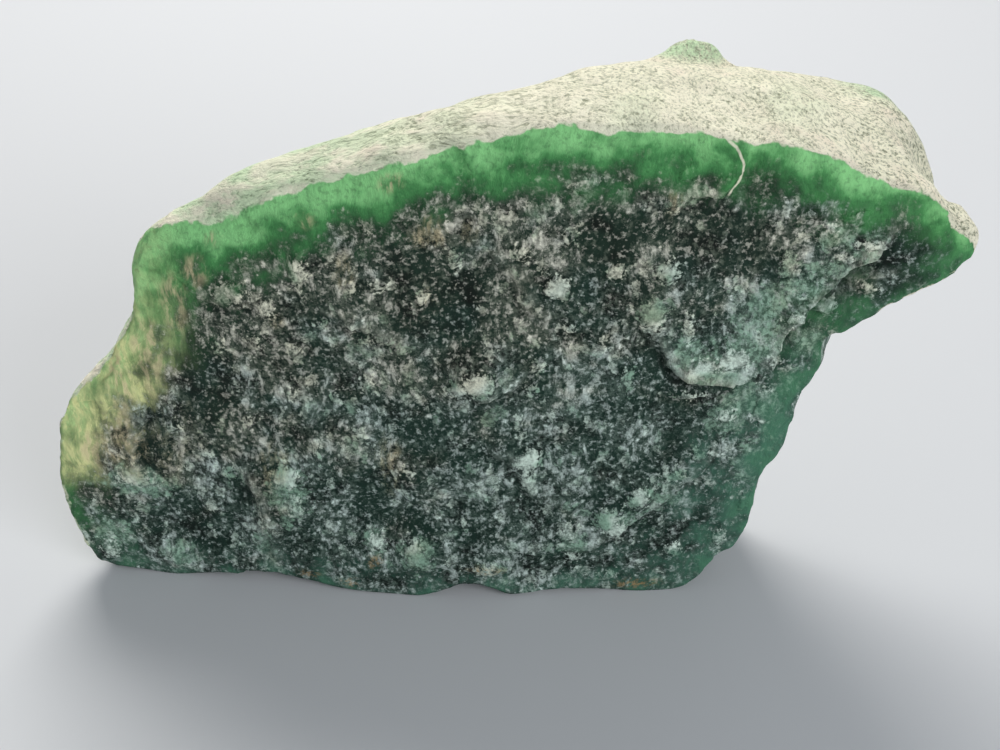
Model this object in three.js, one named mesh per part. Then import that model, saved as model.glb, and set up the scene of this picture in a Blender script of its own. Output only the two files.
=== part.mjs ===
// A raw aventurine boulder: one split piece of green stone that stands on its broken base.
// The front is a fresh fracture. The weathered crust lies over the top and wraps down the back. The stone is
// thin at its upper left and thick at its right, where it runs out into an overhanging nose.
// Millimetres: X runs along the length, Y from the front to the back, Z up. The origin is in the middle of
// the footprint, on the surface that the stone stands on.

import * as THREE from "three";
import { ImprovedNoise } from "three/addons/math/ImprovedNoise.js";
import { mergeVertices } from "three/addons/utils/BufferGeometryUtils.js";

// Driving dimensions: the finished stone measures exactly this.
const LENGTH = 140;
const DEPTH = 33;
const HEIGHT = 89;

// The block that is shaped into the stone has this many cells along its length, height and depth.
const CELLS_LONG = 47;
const CELLS_HIGH = 30;
const CELLS_DEEP = 12;

// The stone swells this far beyond straight lines from its front outline to its back outline.
const CRUST_CROWN = 2;
const BASE_SAG = 1.1;
const LEFT_BULGE = 1.2;
const RIGHT_BULGE = 0.4;
const BACK_BULGE = 3.4;

// Roughness: how far the skin moves in and out, and the size of its lumps.
const SKIN_WAVES = [
  { height: 1.1, size: 17 },
  { height: 0.75, size: 8 },
  { height: 0.45, size: 4.5 },
];
// The skin wanders less along the front's sharp outline and across the fracture.
const FRONT_SHARE = 0.5;
const FRONT_MARGIN = 0.25;
// The stone's layers lie parallel to the front. The back falls from layer to layer in low terraces, and the
// layers' edges stand out as ribs on the crust, the base and the two ends.
const TERRACE = { step: 1.6, riser: 0.3, size: 20, swing: 5.5, stretch: 1.8 };
const RIBS = { height: 0.8, thick: 5.2, long: 34 };
// Weather has rounded the rim of the back here and there, and less along the crust.
const RIM = { wear: 1.8, width: 0.3, patch: 12, crustShare: 0.4 };

// A ledge's step is this wide, and its ends fade out over the taper.
const LEDGE_SOFT = 1.1;
const LEDGE_TAPER = 7;

// No part of the front stands out further than this in y.
const FOREMOST = -2;

// Knots of harder stone that swell out of the block, full height within the crest and down to nothing at the
// radius: the knob behind the crust's far edge, the blunt end of the nose, and a hollow worn in beside it.
const KNOTS = [
  { at: [28.6, 26.5, 87], radius: 6, crest: 4.4, lift: [0, 1, 3.2] },
  { at: [69, 6, 67], radius: 8, crest: 2, lift: [1.7, 0, 2.2] },
  { at: [63.5, 11, 77], radius: 8.5, crest: 3, lift: [-1, 0, -2.8] },
];

// The outline of the front, as [x, y, z]. The top and bottom run from left to right, the sides upwards.
const FRONT_TOP = [
  [-50.3, 5.7, 65.1],
  [-45.5, 5, 68],
  [-39, 4, 69.5],
  [-36.5, 3.5, 71.5],
  [-30, 2.3, 75],
  [-21, 1, 78.5],
  [-10.5, 0, 82],
  [0, 0, 85],
  [8.5, 0, 87],
  [18, 0, 85.7],
  [21, 0, 86.4],
  [32, 0, 85.2],
  [34.3, 0, 83.6],
  [39, 0, 84],
  [45, 0, 82.5],
  [50.5, 0, 79.2],
  [57, 0, 77.3],
  [61, 0, 76],
  [64.8, 0.5, 70],
  [68, 1, 65.5],
];
const FRONT_RIGHT = [
  [30, 2, 0.3],
  [33, 2, 2.2],
  [35, 1.7, 6.3],
  [39, 1.4, 10.3],
  [40.5, 0.8, 16],
  [41.2, 0, 26.5],
  [43.5, 0, 30],
  [44.6, 0, 33.2],
  [45.7, 0, 42],
  [48.8, 0, 48.3],
  [47.2, 0, 51.2],
  [49.6, 0, 53],
  [55, 0, 56.6],
  [59, 0, 59.2],
  [64, 0.4, 62.2],
  [68, 1, 65.5],
];
const FRONT_BOTTOM = [
  [-66, 6.7, 1.6],
  [-58, 6.5, 0.3],
  [-52.5, 6, 0],
  [-46, 5, 1.5],
  [-40, 4, 2.4],
  [-34.5, 3.1, 1.5],
  [-22, 1.1, 0.5],
  [-12, 0, 0],
  [-6, 0, 2.6],
  [-3, 0, 2.8],
  [3, 0, 0.6],
  [10, 0.6, 1.3],
  [24, 1.9, 0.2],
  [30, 2, 0.3],
];
const FRONT_LEFT = [
  [-66, 6.7, 1.6],
  [-68, 6.7, 5.2],
  [-69.6, 6.7, 14],
  [-70, 6.7, 23],
  [-68, 6.7, 33.5],
  [-64.7, 6.7, 38.5],
  [-61.7, 6.7, 40.5],
  [-57.5, 6.5, 46.5],
  [-54, 6.1, 52],
  [-52.4, 6, 58.5],
  [-50.3, 5.7, 65.1],
];

// The outline of the back, in the same order.
const BACK_TOP = [
  [-49.2, 9.6, 60.8],
  [-42.6, 11.3, 68.8],
  [-35.6, 11.6, 73.8],
  [-22, 11.5, 79.4],
  [-10.9, 11.5, 83.5],
  [1.1, 12.5, 86.2],
  [9.2, 15, 87.2],
  [11.6, 17, 87.8],
  [18.7, 21.8, 88.2],
  [25, 23.6, 87.8],
  [30.6, 24.5, 87],
  [35.1, 25.5, 86.3],
  [41.2, 26.5, 84],
  [47, 28, 82.6],
  [57, 28.5, 81.2],
  [60.4, 27.2, 77.6],
  [62.4, 25.6, 71.4],
  [62.4, 22, 65.6],
];
const BACK_RIGHT = [
  [42, 24, 1],
  [44, 22, 10],
  [47, 24, 20],
  [49, 25, 30],
  [54, 25, 40],
  [59, 25.5, 50],
  [61.2, 25, 58],
  [62.4, 22, 65.6],
];
const BACK_BOTTOM = [
  [-58, 23, 1.2],
  [-46, 26, 0.4],
  [-30, 27, 1.6],
  [-10, 28, 0.6],
  [8, 27.5, 1.8],
  [28, 28, 0.2],
  [42, 24, 1],
];
const BACK_LEFT = [
  [-58, 23, 1.2],
  [-62, 22, 10],
  [-63.5, 21, 22],
  [-60, 19, 33],
  [-54, 17, 45],
  [-50.5, 14, 55],
  [-49.2, 9.6, 60.8],
];

// Ledges of the front, as lines of [x, z]. The stone to the left of a line, walking along it, stands out by
// its rise, and falls back to the face over about its run.
const FRONT_LEDGES = [
  // the tongue: a flake that hangs down from the upper right
  {
    rise: 3,
    run: 15,
    line: [
      [17.5, 66], [21.3, 60.1], [22.8, 54.8], [25.1, 49.7], [28, 46.1], [34.9, 44], [40.6, 47.1],
      [43.5, 54.1], [48.5, 61], [54.4, 67.6], [58.5, 73],
    ],
  },
  // the plate below the crust, which ends at the notch
  {
    rise: -1.9,
    run: 13,
    line: [[33.9, 88], [34.5, 80.1], [31.7, 76], [27.3, 75.5], [23.8, 70], [22, 63]],
  },
  // the hollow right of the tongue
  { rise: -1.7, run: 8, line: [[44.5, 55.6], [48.5, 61], [52.4, 63.8], [60.5, 65]] },
  // the long ridge across the lower right corner
  { rise: 1.6, run: 9, line: [[9, 12], [15.8, 10.2], [19.8, 12.9], [27, 21.4], [31, 25.5], [38, 33]] },
  // low splinters across the middle and the left
  { rise: 1.1, run: 10, line: [[-9, 49], [-4.5, 43.5], [-1.8, 40.6], [3.5, 43.5], [7, 48]] },
  { rise: 1.2, run: 12, line: [[-27, 57], [-20.5, 54.1], [-15.8, 51.4], [-9, 50.2]] },
  { rise: 1.1, run: 9, line: [[-49, 63], [-44, 57], [-38, 55], [-31, 57.5]] },
  { rise: 1.3, run: 11, line: [[-41, 28], [-38, 18], [-36.6, 10], [-38, 2]] },
  { rise: -1.2, run: 12, line: [[-56, 46], [-53.5, 36], [-56.5, 27], [-55, 18]] },
  { rise: 1, run: 8, line: [[-2, 33], [3.5, 28], [6, 22], [12, 19]] },
  { rise: 1, run: 10, line: [[-4, 70], [3, 63], [4.5, 57], [11, 54]] },
];

// Swells and scoops of the front: where, how far they reach along X and Z, and how far they stand out.
const FRONT_SWELLS = [
  { at: [-17, 16.5], reach: [9.5, 6], out: -2.2 },
  { at: [-12.6, 8.6], reach: [4.5, 3.6], out: 1.7 },
  { at: [-20, 11.5], reach: [2.8, 5.2], out: 1.5 },
  { at: [-52.3, 4.7], reach: [4, 3.4], out: 1.6 },
  { at: [-60, 20], reach: [7, 9], out: 1.2 },
  { at: [-32, 16.5], reach: [2.8, 9], out: 1.3 },
  { at: [-1.4, 44.8], reach: [4.5, 3.6], out: 0.9 },
  { at: [8, 26], reach: [4.5, 6], out: -1.1 },
  { at: [-2.5, 59], reach: [13, 9], out: -1.2 },
  { at: [-28, 44], reach: [11, 8], out: -1.2 },
  { at: [33, 60], reach: [6, 6], out: -1 },
  { at: [22, 35], reach: [9, 7], out: -1.4 },
  { at: [57, 70], reach: [6, 4], out: 1 },
];

// Ledges and scoops of the back, measured in the same X and Z.
const BACK_LEDGES = [
  { rise: 2, run: 16, line: [[-46, 40], [-30, 45], [-12, 42], [6, 49], [25, 46], [44, 52]] },
  { rise: 1.7, run: 12, line: [[-52, 20], [-34, 24], [-18, 19], [-4, 25]] },
  { rise: 2, run: 14, line: [[10, 22], [24, 18], [38, 24]] },
  { rise: 1.5, run: 10, line: [[2, 70], [18, 66], [36, 70], [54, 65]] },
];
const BACK_SWELLS = [
  { at: [-22, 58], reach: [12, 7], out: -1.8 },
  { at: [18, 34], reach: [14, 8], out: -2 },
  { at: [46, 68], reach: [9, 6], out: 1.6 },
  { at: [-40, 12], reach: [9, 6], out: -1.6 },
  { at: [0, 12], reach: [10, 7], out: 1.5 },
  { at: [7, 63], reach: [7, 8], out: -2.4 },
  { at: [14, 78], reach: [6, 5], out: 1.2 },
];

const noise = new ImprovedNoise();

// A soft step from 0 at low to 1 at high.
function ramp(value, low, high) {
  return THREE.MathUtils.smoothstep(value, low, high);
}

// A path through the listed points, read by its share of the length.
function edge(points) {
  const path = new THREE.CurvePath();
  for (let i = 1; i < points.length; i += 1) {
    const start = new THREE.Vector3(...points[i - 1]);
    path.add(new THREE.LineCurve3(start, new THREE.Vector3(...points[i])));
  }
  return path;
}

// A sheet stretched between four edges: u runs from left to right and v upwards.
function sheet(bottom, top, left, right) {
  const edges = { bottom: edge(bottom), top: edge(top), left: edge(left), right: edge(right) };
  const lowLeft = edges.bottom.getPoint(0);
  const lowRight = edges.bottom.getPoint(1);
  const highLeft = edges.top.getPoint(0);
  const highRight = edges.top.getPoint(1);
  return (u, v) => {
    const across = edges.left.getPoint(v).lerp(edges.right.getPoint(v), u);
    const upwards = edges.bottom.getPoint(u).lerp(edges.top.getPoint(u), v);
    const low = lowLeft.clone().lerp(lowRight, u);
    const corners = low.lerp(highLeft.clone().lerp(highRight, u), v);
    return across.add(upwards).sub(corners);
  };
}

// The nearest point of a line of [x, z]: its distance, the side, and how far along the line it is.
function nearest(line, x, z) {
  let best = { distance: Infinity, side: 1, along: 0 };
  let length = 0;
  for (let i = 1; i < line.length; i += 1) {
    const [startX, startZ] = line[i - 1];
    const stepX = line[i][0] - startX;
    const stepZ = line[i][1] - startZ;
    const step = Math.hypot(stepX, stepZ);
    const dot = ((x - startX) * stepX + (z - startZ) * stepZ) / (step * step);
    const share = THREE.MathUtils.clamp(dot, 0, 1);
    const distance = Math.hypot(x - startX - share * stepX, z - startZ - share * stepZ);
    if (distance < best.distance) {
      const side = Math.sign(stepX * (z - startZ) - stepZ * (x - startX)) || 1;
      best = { distance, side, along: length + share * step };
    }
    length += step;
  }
  return { ...best, length };
}

// How far a ledge lifts the point (x, z).
function ledgeHeight({ line, rise, run }, x, z) {
  const { distance, side, along, length } = nearest(line, x, z);
  const ends = ramp(along, 0, LEDGE_TAPER) * ramp(length - along, 0, LEDGE_TAPER);
  const inside = distance * side;
  return rise * ends * ramp(inside, -LEDGE_SOFT, LEDGE_SOFT) * Math.exp(-Math.max(inside, 0) / run);
}

// How far a swell lifts the point (x, z).
function swellHeight({ at, reach, out }, x, z) {
  return out * Math.exp(-(((x - at[0]) / reach[0]) ** 2) - ((z - at[1]) / reach[1]) ** 2);
}

// The height of all the ledges and swells at (x, z).
function relief(ledges, swells, x, z) {
  const steps = ledges.reduce((sum, ledge) => sum + ledgeHeight(ledge, x, z), 0);
  return swells.reduce((sum, swell) => sum + swellHeight(swell, x, z), steps);
}

// Noise between about -1 and 1, with lumps of the given size. Stretch makes them longer along X.
function lumps(point, size, stretch = 1) {
  return noise.noise(point.x / (size * stretch), point.y / size, point.z / size);
}

// The depth of the back's terraces: a rolling surface, cut into level treads with short risers.
function terraces(point) {
  const { step, riser, size, swing, stretch } = TERRACE;
  const level = (lumps(point, size, stretch) * swing) / step;
  const tread = Math.floor(level);
  return (tread + ramp(level - tread, 1 - riser, 1)) * step;
}

// 1 in the middle of 0 to 1, and 0 at both ends.
function arch(share) {
  return 4 * share * (1 - share);
}

// The stone's skin before its roughness: u, v and w run from 0 to 1 along X, Z and Y.
function skin(front, back, u, v, w) {
  const point = front(u, v).lerp(back(u, v), w);
  point.z += arch(w) * (CRUST_CROWN * v ** 2 - BASE_SAG * (1 - v) ** 2);
  point.x += arch(w) * (RIGHT_BULGE * u ** 2 - LEFT_BULGE * (1 - u) ** 2);
  point.y += w * BACK_BULGE * arch(u) * arch(v);
  return point;
}

// How far the layers' edges stand out at a point of the crust, the base or an end.
function ribs(point) {
  const { height, thick, long } = RIBS;
  return height * noise.noise(point.x / long, point.y / thick, point.z / long);
}

// How far the skin stands out at a point, from its place in the block.
function roughness(point, u, v, w) {
  const inner = Math.min(arch(u), arch(v)) ** 0.5;
  const share = THREE.MathUtils.lerp(FRONT_SHARE, 1, ramp(w, 0, FRONT_MARGIN));
  const waves = SKIN_WAVES.reduce((sum, { height, size }) => sum + height * lumps(point, size), 0);
  if (w === 0) {
    return share * waves + inner * relief(FRONT_LEDGES, FRONT_SWELLS, point.x, point.z);
  }
  const back = w * inner * (relief(BACK_LEDGES, BACK_SWELLS, point.x, point.z) + terraces(point));
  const rim = ramp(w, 1 - RIM.width, 1) * (1 - ramp(inner, RIM.width / 2, 2 * RIM.width));
  const worn = THREE.MathUtils.lerp(1, RIM.crustShare, v) * (1 + lumps(point, RIM.patch));
  const wear = rim * worn * RIM.wear;
  return share * (waves + arch(w) * ribs(point)) + back - wear;
}

// How far the knots carry a point.
function knotLift(point) {
  const lift = new THREE.Vector3();
  KNOTS.forEach(({ at, radius, crest, lift: full }) => {
    const share = ramp(radius - point.distanceTo(new THREE.Vector3(...at)), 0, radius - crest);
    lift.addScaledVector(new THREE.Vector3(...full), share);
  });
  return lift;
}

function stoneGeometry() {
  const front = sheet(FRONT_BOTTOM, FRONT_TOP, FRONT_LEFT, FRONT_RIGHT);
  const back = sheet(BACK_BOTTOM, BACK_TOP, BACK_LEFT, BACK_RIGHT);
  const block = new THREE.BoxGeometry(1, 1, 1, CELLS_LONG, CELLS_DEEP, CELLS_HIGH);
  block.deleteAttribute("normal");
  block.deleteAttribute("uv");
  const stone = mergeVertices(block);
  const position = stone.getAttribute("position");
  const places = [];
  for (let i = 0; i < position.count; i += 1) {
    const place = new THREE.Vector3().fromBufferAttribute(position, i).addScalar(0.5);
    const { x, y, z } = skin(front, back, place.x, place.z, place.y);
    position.setXYZ(i, x, y, z);
    places.push(place);
  }
  stone.computeVertexNormals();
  const normals = stone.getAttribute("normal").clone();
  places.forEach((place, i) => {
    const point = new THREE.Vector3().fromBufferAttribute(position, i);
    const normal = new THREE.Vector3().fromBufferAttribute(normals, i);
    const knots = knotLift(point);
    point.addScaledVector(normal, roughness(point, place.x, place.z, place.y)).add(knots);
    position.setXYZ(i, point.x, Math.max(point.y, FOREMOST), Math.max(point.z, 0));
  });
  stone.deleteAttribute("normal");
  return stone;
}

// Sizes the stone to its driving dimensions and puts the origin in the middle of its footprint.
function toSize(geometry) {
  geometry.computeBoundingBox();
  const size = geometry.boundingBox.getSize(new THREE.Vector3());
  const middle = geometry.boundingBox.getCenter(new THREE.Vector3());
  geometry.translate(-middle.x, -middle.y, -geometry.boundingBox.min.z);
  geometry.scale(LENGTH / size.x, DEPTH / size.y, HEIGHT / size.z);
  geometry.computeVertexNormals();
  return geometry;
}

const stoneMaterial = new THREE.MeshStandardMaterial({ color: 0x4f6b58, roughness: 0.5, metalness: 0 });

const boulder = new THREE.Mesh(toSize(stoneGeometry()), stoneMaterial);
boulder.name = "boulder";

const object = new THREE.Group();
object.add(boulder);

export default object;
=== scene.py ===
import math

import bmesh
import bpy
import numpy as np
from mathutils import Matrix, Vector, kdtree, noise


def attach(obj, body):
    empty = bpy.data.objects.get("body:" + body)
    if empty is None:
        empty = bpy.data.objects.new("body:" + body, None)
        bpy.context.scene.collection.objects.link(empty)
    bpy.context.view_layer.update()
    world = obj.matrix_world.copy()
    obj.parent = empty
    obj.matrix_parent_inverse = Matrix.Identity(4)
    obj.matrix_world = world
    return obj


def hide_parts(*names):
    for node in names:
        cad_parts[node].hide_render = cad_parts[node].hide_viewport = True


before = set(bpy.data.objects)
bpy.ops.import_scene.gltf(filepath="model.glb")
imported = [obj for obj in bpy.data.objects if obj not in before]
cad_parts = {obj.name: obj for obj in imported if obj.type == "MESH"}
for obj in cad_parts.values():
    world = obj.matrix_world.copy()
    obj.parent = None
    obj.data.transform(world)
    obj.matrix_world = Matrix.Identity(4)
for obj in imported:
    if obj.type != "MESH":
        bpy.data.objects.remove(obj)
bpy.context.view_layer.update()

bl_info = {
    "name": "Raw aventurine boulder",
    "version": (1, 0, 0),
    "blender": (4, 5, 0),
    "location": "3D View > Sidebar > Boulder",
    "description": "A broken block of green aventurine with a weathered rind, and its studio stage",
    "category": "Add Mesh",
}

# The stone's lengths are in millimetres and the stage's in metres. X runs along the stone, Y into it
# and Z up.
MM = 0.001
NODE = "boulder"
PIECE = "boulder_stone"
BODY = "root"


# ---------------------------------------------------------------- the stone's map

# Corners of the broken front face, where its sharp outline turns.
FRONT_CORNERS = ((-50.3, -9.0, 64.5), (69.0, -13.5, 65.4), (30.3, -12.6, 0.2), (-65.8, -7.7, 1.7))
# A place well inside the front face.
FRONT_MIDDLE = (0.0, -13.0, 45.0)

# Ledges of the front: how far the left side of a line stands out of the right side, and the line in
# X and Z.
FRONT_LEDGES = (
    # the tongue, a flake that hangs down from the upper right
    (3.0, ((23.0, 54.3), (25.3, 49.2), (28.2, 45.6), (35.2, 43.6), (40.9, 46.6), (43.8, 53.6),
           (48.8, 60.4), (54.7, 66.9), (58.8, 72.3))),
    # the plate below the rind, which ends at the notch
    (-1.9, ((34.2, 87.1), (34.8, 79.3), (32.0, 75.2), (27.5, 74.8), (25.0, 71.5))),
    # the hollow right of the tongue
    (-1.7, ((44.8, 55.1), (48.8, 60.4), (52.7, 63.2), (60.8, 64.4))),
    # the long ridge across the lower right corner
    (0.9, ((9.2, 11.9), (16.0, 10.1), (20.0, 12.8), (27.2, 21.2), (31.3, 25.2), (38.3, 32.7))),
    # low splinters across the middle and the left
    (1.1, ((-8.8, 48.5), (-4.3, 43.1), (-1.6, 40.2), (3.7, 43.1), (7.2, 47.5))),
    (1.2, ((-26.9, 56.4), (-20.4, 53.6), (-15.7, 50.9), (-8.8, 49.7))),
    (1.1, ((-49.0, 62.4), (-44.0, 56.4), (-38.0, 54.5), (-30.9, 56.9))),
    (1.3, ((-41.0, 27.7), (-37.9, 17.8), (-36.5, 9.9), (-37.9, 2.0))),
    (-1.2, ((-56.0, 45.5), (-53.5, 35.6), (-56.5, 26.7), (-55.0, 17.8))),
    (1.0, ((-1.8, 32.7), (3.7, 27.7), (6.2, 21.8), (12.2, 18.8))),
    (1.0, ((-3.8, 69.3), (3.2, 62.4), (4.7, 56.4), (11.2, 53.5))),
)
# Ledges of the back, in the same way.
BACK_LEDGES = (
    (2.0, ((-45.9, 39.6), (-29.9, 44.6), (-11.9, 41.6), (6.2, 48.5), (25.2, 45.5), (44.3, 51.5))),
    (1.7, ((-52.0, 19.8), (-33.9, 23.8), (-17.9, 18.8), (-3.8, 24.8))),
    (2.0, ((10.2, 21.8), (24.2, 17.8), (38.3, 23.8))),
    (1.5, ((2.2, 69.3), (18.2, 65.3), (36.3, 69.3), (54.3, 64.4))),
)

# The pale line down the edge of the plate at the notch.
NOTCH_LINE = (
    (30.6, 86.0), (31.3, 84.8), (32.9, 83.0), (34.6, 80.7), (34.6, 79.6), (33.9, 77.1), (32.7, 75.1),
)

# The lower border of the weathered rind on the back and the ends, in X and Z.
RIND_BORDER = ((-70, 4), (-50, 14), (-25, 26), (5, 33), (35, 47), (60, 60), (75, 62))

# Where the green rim changes, a painted glow of light through the thin edge: X, Z, how deep it reaches into
# the front, and how bright it is.
GLOW_RIM_KEYS = (
    (-53, 62, 13, 1.15), (-38, 70, 9.5, 1.3), (-20, 77, 9, 1.12), (8, 86, 9, 0.98), (34, 82, 8, 0.92),
    (50, 78, 9, 0.95), (64, 70, 8, 0.87), (71, 66, 6, 0.75), (66, 62, 4, 0.3), (60, 57, 4, 0.12),
    (52, 52, 4, 0.1), (46, 40, 5, 0.28), (41, 22, 8, 0.4), (38, 8, 6, 0.3), (30, 0, 2, 0.1),
    (0, 0, 0.5, 0.05), (-52, 0, 0.5, 0.05), (-66, 8, 2, 0.05), (-68, 17, 2, 0.05), (-69, 24, 8, 0.6),
    (-70, 31, 9, 0.95), (-63, 41, 8.5, 0.95), (-56, 53, 9, 0.8),
)

# The chips and patches of the front follow, each with its X, Z, half width and half height. A point
# that lies further than this from all of them counts as this far outside.
FAR_OUTSIDE = 9.0
# Pale flakes with raised edges.
FLAKES = (
    (-27.7, 63.0, 1.3, 3.6), (-38.4, 57.9, 2.3, 2.1), (-33.0, 55.6, 1.2, 1.9), (-19.9, 59.7, 0.9, 1.0),
    (-15.9, 60.6, 1.2, 0.8), (-9.8, 58.7, 0.9, 1.0), (-25.3, 53.5, 0.9, 0.7), (-40.9, 48.0, 0.6, 1.5),
    (-35.2, 49.4, 0.9, 0.9), (-29.5, 47.9, 0.8, 0.9), (-20.3, 53.6, 0.5, 1.0), (-18.8, 51.1, 0.9, 0.7),
    (-15.9, 51.1, 1.3, 0.7), (-13.6, 49.6, 1.0, 0.7), (-5.3, 65.0, 0.8, 2.0), (4.2, 66.6, 1.4, 1.3),
    (9.7, 60.7, 2.1, 2.2), (11.0, 69.0, 0.7, 1.1), (17.7, 63.5, 1.1, 1.3), (25.2, 64.2, 1.8, 1.8),
    (23.5, 56.9, 1.9, 2.6), (28.9, 55.1, 0.9, 1.7), (34.8, 60.7, 0.6, 0.7), (11.7, 53.6, 0.9, 0.9),
    (16.3, 51.5, 0.7, 0.9), (27.1, 79.0, 1.4, 1.5), (25.4, 74.3, 0.6, 1.2), (32.2, 77.1, 1.9, 2.1),
    (13.1, 77.2, 1.6, 1.2), (41.8, 65.0, 1.1, 2.3), (47.1, 69.1, 1.3, 1.9), (50.3, 66.1, 1.1, 1.0),
    (52.9, 68.3, 1.7, 1.0), (45.5, 58.7, 1.4, 1.2), (43.8, 56.3, 1.7, 1.0), (51.0, 72.3, 2.2, 1.3),
    (31.2, 47.7, 2.4, 1.8), (36.1, 49.2, 2.7, 1.8), (41.7, 48.5, 1.0, 1.4), (48.2, 57.9, 2.0, 1.9),
    (54.2, 60.4, 1.3, 1.2), (-57.5, 21.9, 3.4, 1.8), (-52.6, 4.4, 1.4, 1.8), (-64.0, 5.1, 1.4, 1.8),
    (-44.8, 27.4, 1.2, 1.2), (-42.1, 24.3, 1.2, 1.2), (-32.4, 24.7, 2.3, 2.4), (-37.6, 14.7, 0.6, 3.0),
    (-31.6, 18.7, 1.2, 2.5), (-27.0, 30.1, 0.6, 1.2), (-23.4, 39.9, 0.9, 0.9), (-18.9, 42.9, 0.9, 1.1),
    (-20.1, 33.8, 0.9, 1.5), (-37.6, 34.9, 0.8, 1.0), (-30.2, 40.2, 0.8, 0.9), (-49.1, 32.8, 0.8, 1.0),
    (-1.7, 44.4, 3.0, 2.1), (-4.9, 43.2, 2.2, 1.9), (6.1, 43.2, 1.1, 1.5), (7.0, 47.3, 1.2, 1.1),
    (5.7, 29.8, 2.3, 1.8), (5.4, 25.2, 1.3, 2.8), (-12.8, 26.7, 0.9, 0.8), (3.9, 37.4, 0.8, 0.9),
    (4.9, 34.2, 0.8, 1.0), (-4.3, 15.9, 0.6, 1.1), (-19.0, 11.9, 1.2, 1.9), (-12.4, 9.4, 2.0, 2.6),
    (-1.0, 6.1, 2.6, 0.9), (18.5, 18.0, 2.2, 2.2), (12.5, 14.1, 1.3, 2.2), (13.3, 9.4, 1.2, 1.6),
    (23.2, 22.1, 1.9, 2.1), (19.9, 15.8, 1.9, 1.8), (28.5, 26.2, 1.9, 0.8), (20.5, 44.8, 0.9, 2.2),
    (29.5, 41.9, 2.1, 0.9), (41.6, 40.2, 1.8, 3.3), (35.8, 38.0, 1.4, 1.3), (32.2, 30.8, 1.2, 1.0),
    (36.8, 12.8, 1.5, 1.9), (40.0, 19.9, 1.0, 2.0), (29.4, 10.0, 1.3, 1.4), (19.1, 4.1, 1.3, 0.9),
)
# Thin pale green films, which the grains still show through.
VEILS = (
    (33.3, 47.3, 5.8, 3.6), (38.3, 52.0, 4.8, 4.0), (29.0, 50.3, 2.3, 3.6), (44.6, 60.8, 3.2, 2.0),
    (48.3, 64.2, 3.8, 1.7), (39.5, 58.2, 4.2, 3.6), (52.5, 67.4, 2.6, 1.8), (20.6, 17.3, 3.6, 2.2),
    (26.7, 22.7, 3.6, 2.1), (13.5, 12.0, 2.8, 2.8), (42.8, 36.5, 2.1, 5.0), (45.0, 44.0, 2.0, 3.0),
    (-57.0, 20.6, 5.6, 3.2), (33.0, 77.8, 2.3, 3.0), (28.4, 75.8, 2.6, 2.2), (49.6, 70.6, 3.4, 2.6),
    (39.0, 40.5, 5.0, 3.6), (36.0, 37.0, 3.6, 3.0), (40.5, 30.0, 3.0, 4.6), (47.0, 51.5, 3.0, 3.0),
    (-12.4, 9.0, 2.6, 3.6), (-19.0, 12.0, 1.8, 3.0), (-32.8, 20.5, 3.0, 6.0), (-63.0, 9.0, 3.6, 4.0),
    (-37.5, 8.0, 1.6, 4.5), (-52.6, 5.0, 2.6, 3.0), (13.0, 77.5, 3.0, 1.8), (23.5, 57.0, 2.0, 2.7),
)
# Smooth glassy places with few pale grains.
CALM_PATCHES = (
    (-10.2, 34.2, 4.6, 4.2), (-5.8, 29.8, 3.1, 2.7), (-19.2, 19.4, 4.2, 3.3), (-11.7, 15.8, 2.9, 2.9),
    (43.9, 52.7, 1.5, 1.4), (33.2, 20.5, 1.9, 6.4), (20.5, 19.5, 3.2, 3.0),
)
# Places where the grains turn tan and pink.
BLUSH_PATCHES = (
    (-43.6, 60.6, 2.0, 2.6), (-47.0, 54.6, 1.6, 4.6), (-52.4, 45.5, 2.4, 7.3), (-57.4, 31.0, 3.0, 6.0),
    (-62.9, 26.6, 3.0, 3.2), (-13.9, 77.4, 1.7, 1.4), (-26.4, 70.7, 1.3, 1.1), (-39.7, 66.4, 1.2, 1.0),
    (-9.5, 58.7, 1.2, 1.4), (-31.6, 53.5, 0.9, 1.1), (-20.9, 62.6, 1.7, 3.3), (-15.9, 26.5, 2.2, 5.9),
    (-2.9, 69.9, 1.1, 1.9), (25.4, 74.3, 1.1, 1.9), (-8.5, 69.3, 2.8, 2.5),
    (-34.4, 26.4, 2.3, 4.8), (-57.6, 40.0, 2.0, 8.0),
)
# Iron stains near the base.
OCHRE_PATCHES = (
    (-19.2, 7.6, 1.3, 1.3), (-30.6, 3.0, 1.7, 0.9), (-23.9, 2.2, 1.4, 0.9), (-1.0, 6.1, 2.6, 0.9),
    (23.4, 2.0, 3.7, 1.2),
)
# Places where the dark body shows most.
DEEP_PATCHES = (
    (32.3, 67.7, 7.0, 6.3), (23.6, 72.4, 4.2, 3.7), (-7.4, 57.9, 7.2, 9.9), (-43.3, 40.6, 4.8, 7.5),
    (-45.4, 10.3, 5.2, 4.4), (22.3, 16.1, 3.2, 3.2), (40.9, 53.4, 1.2, 1.4), (50.3, 59.5, 3.2, 1.7),
    (15.4, 67.7, 5.6, 6.3), (56.5, 61.5, 7.0, 3.4), (59.0, 66.5, 4.5, 3.4),
)


def paint(red, green, blue):
    """A display colour of 0 to 255 in each channel as the linear colour that Blender mixes."""

    def linear(channel):
        share = channel / 255
        if share <= 0.04045:
            return share / 12.92
        return ((share + 0.055) / 1.055) ** 2.4

    return (linear(red), linear(green), linear(blue), 1.0)


def colour(name, description, default):
    """One colour that the sidebar offers."""
    return bpy.props.FloatVectorProperty(
        name=name, description=description, default=default, size=4, subtype="COLOR", min=0.0, max=1.0
    )


def millimetres(name, description, default, low=0.0, high=50.0):
    """One size in millimetres that the sidebar offers."""
    return bpy.props.FloatProperty(
        name=name, description=description + ", in millimetres", default=default, min=low, max=high
    )


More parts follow.
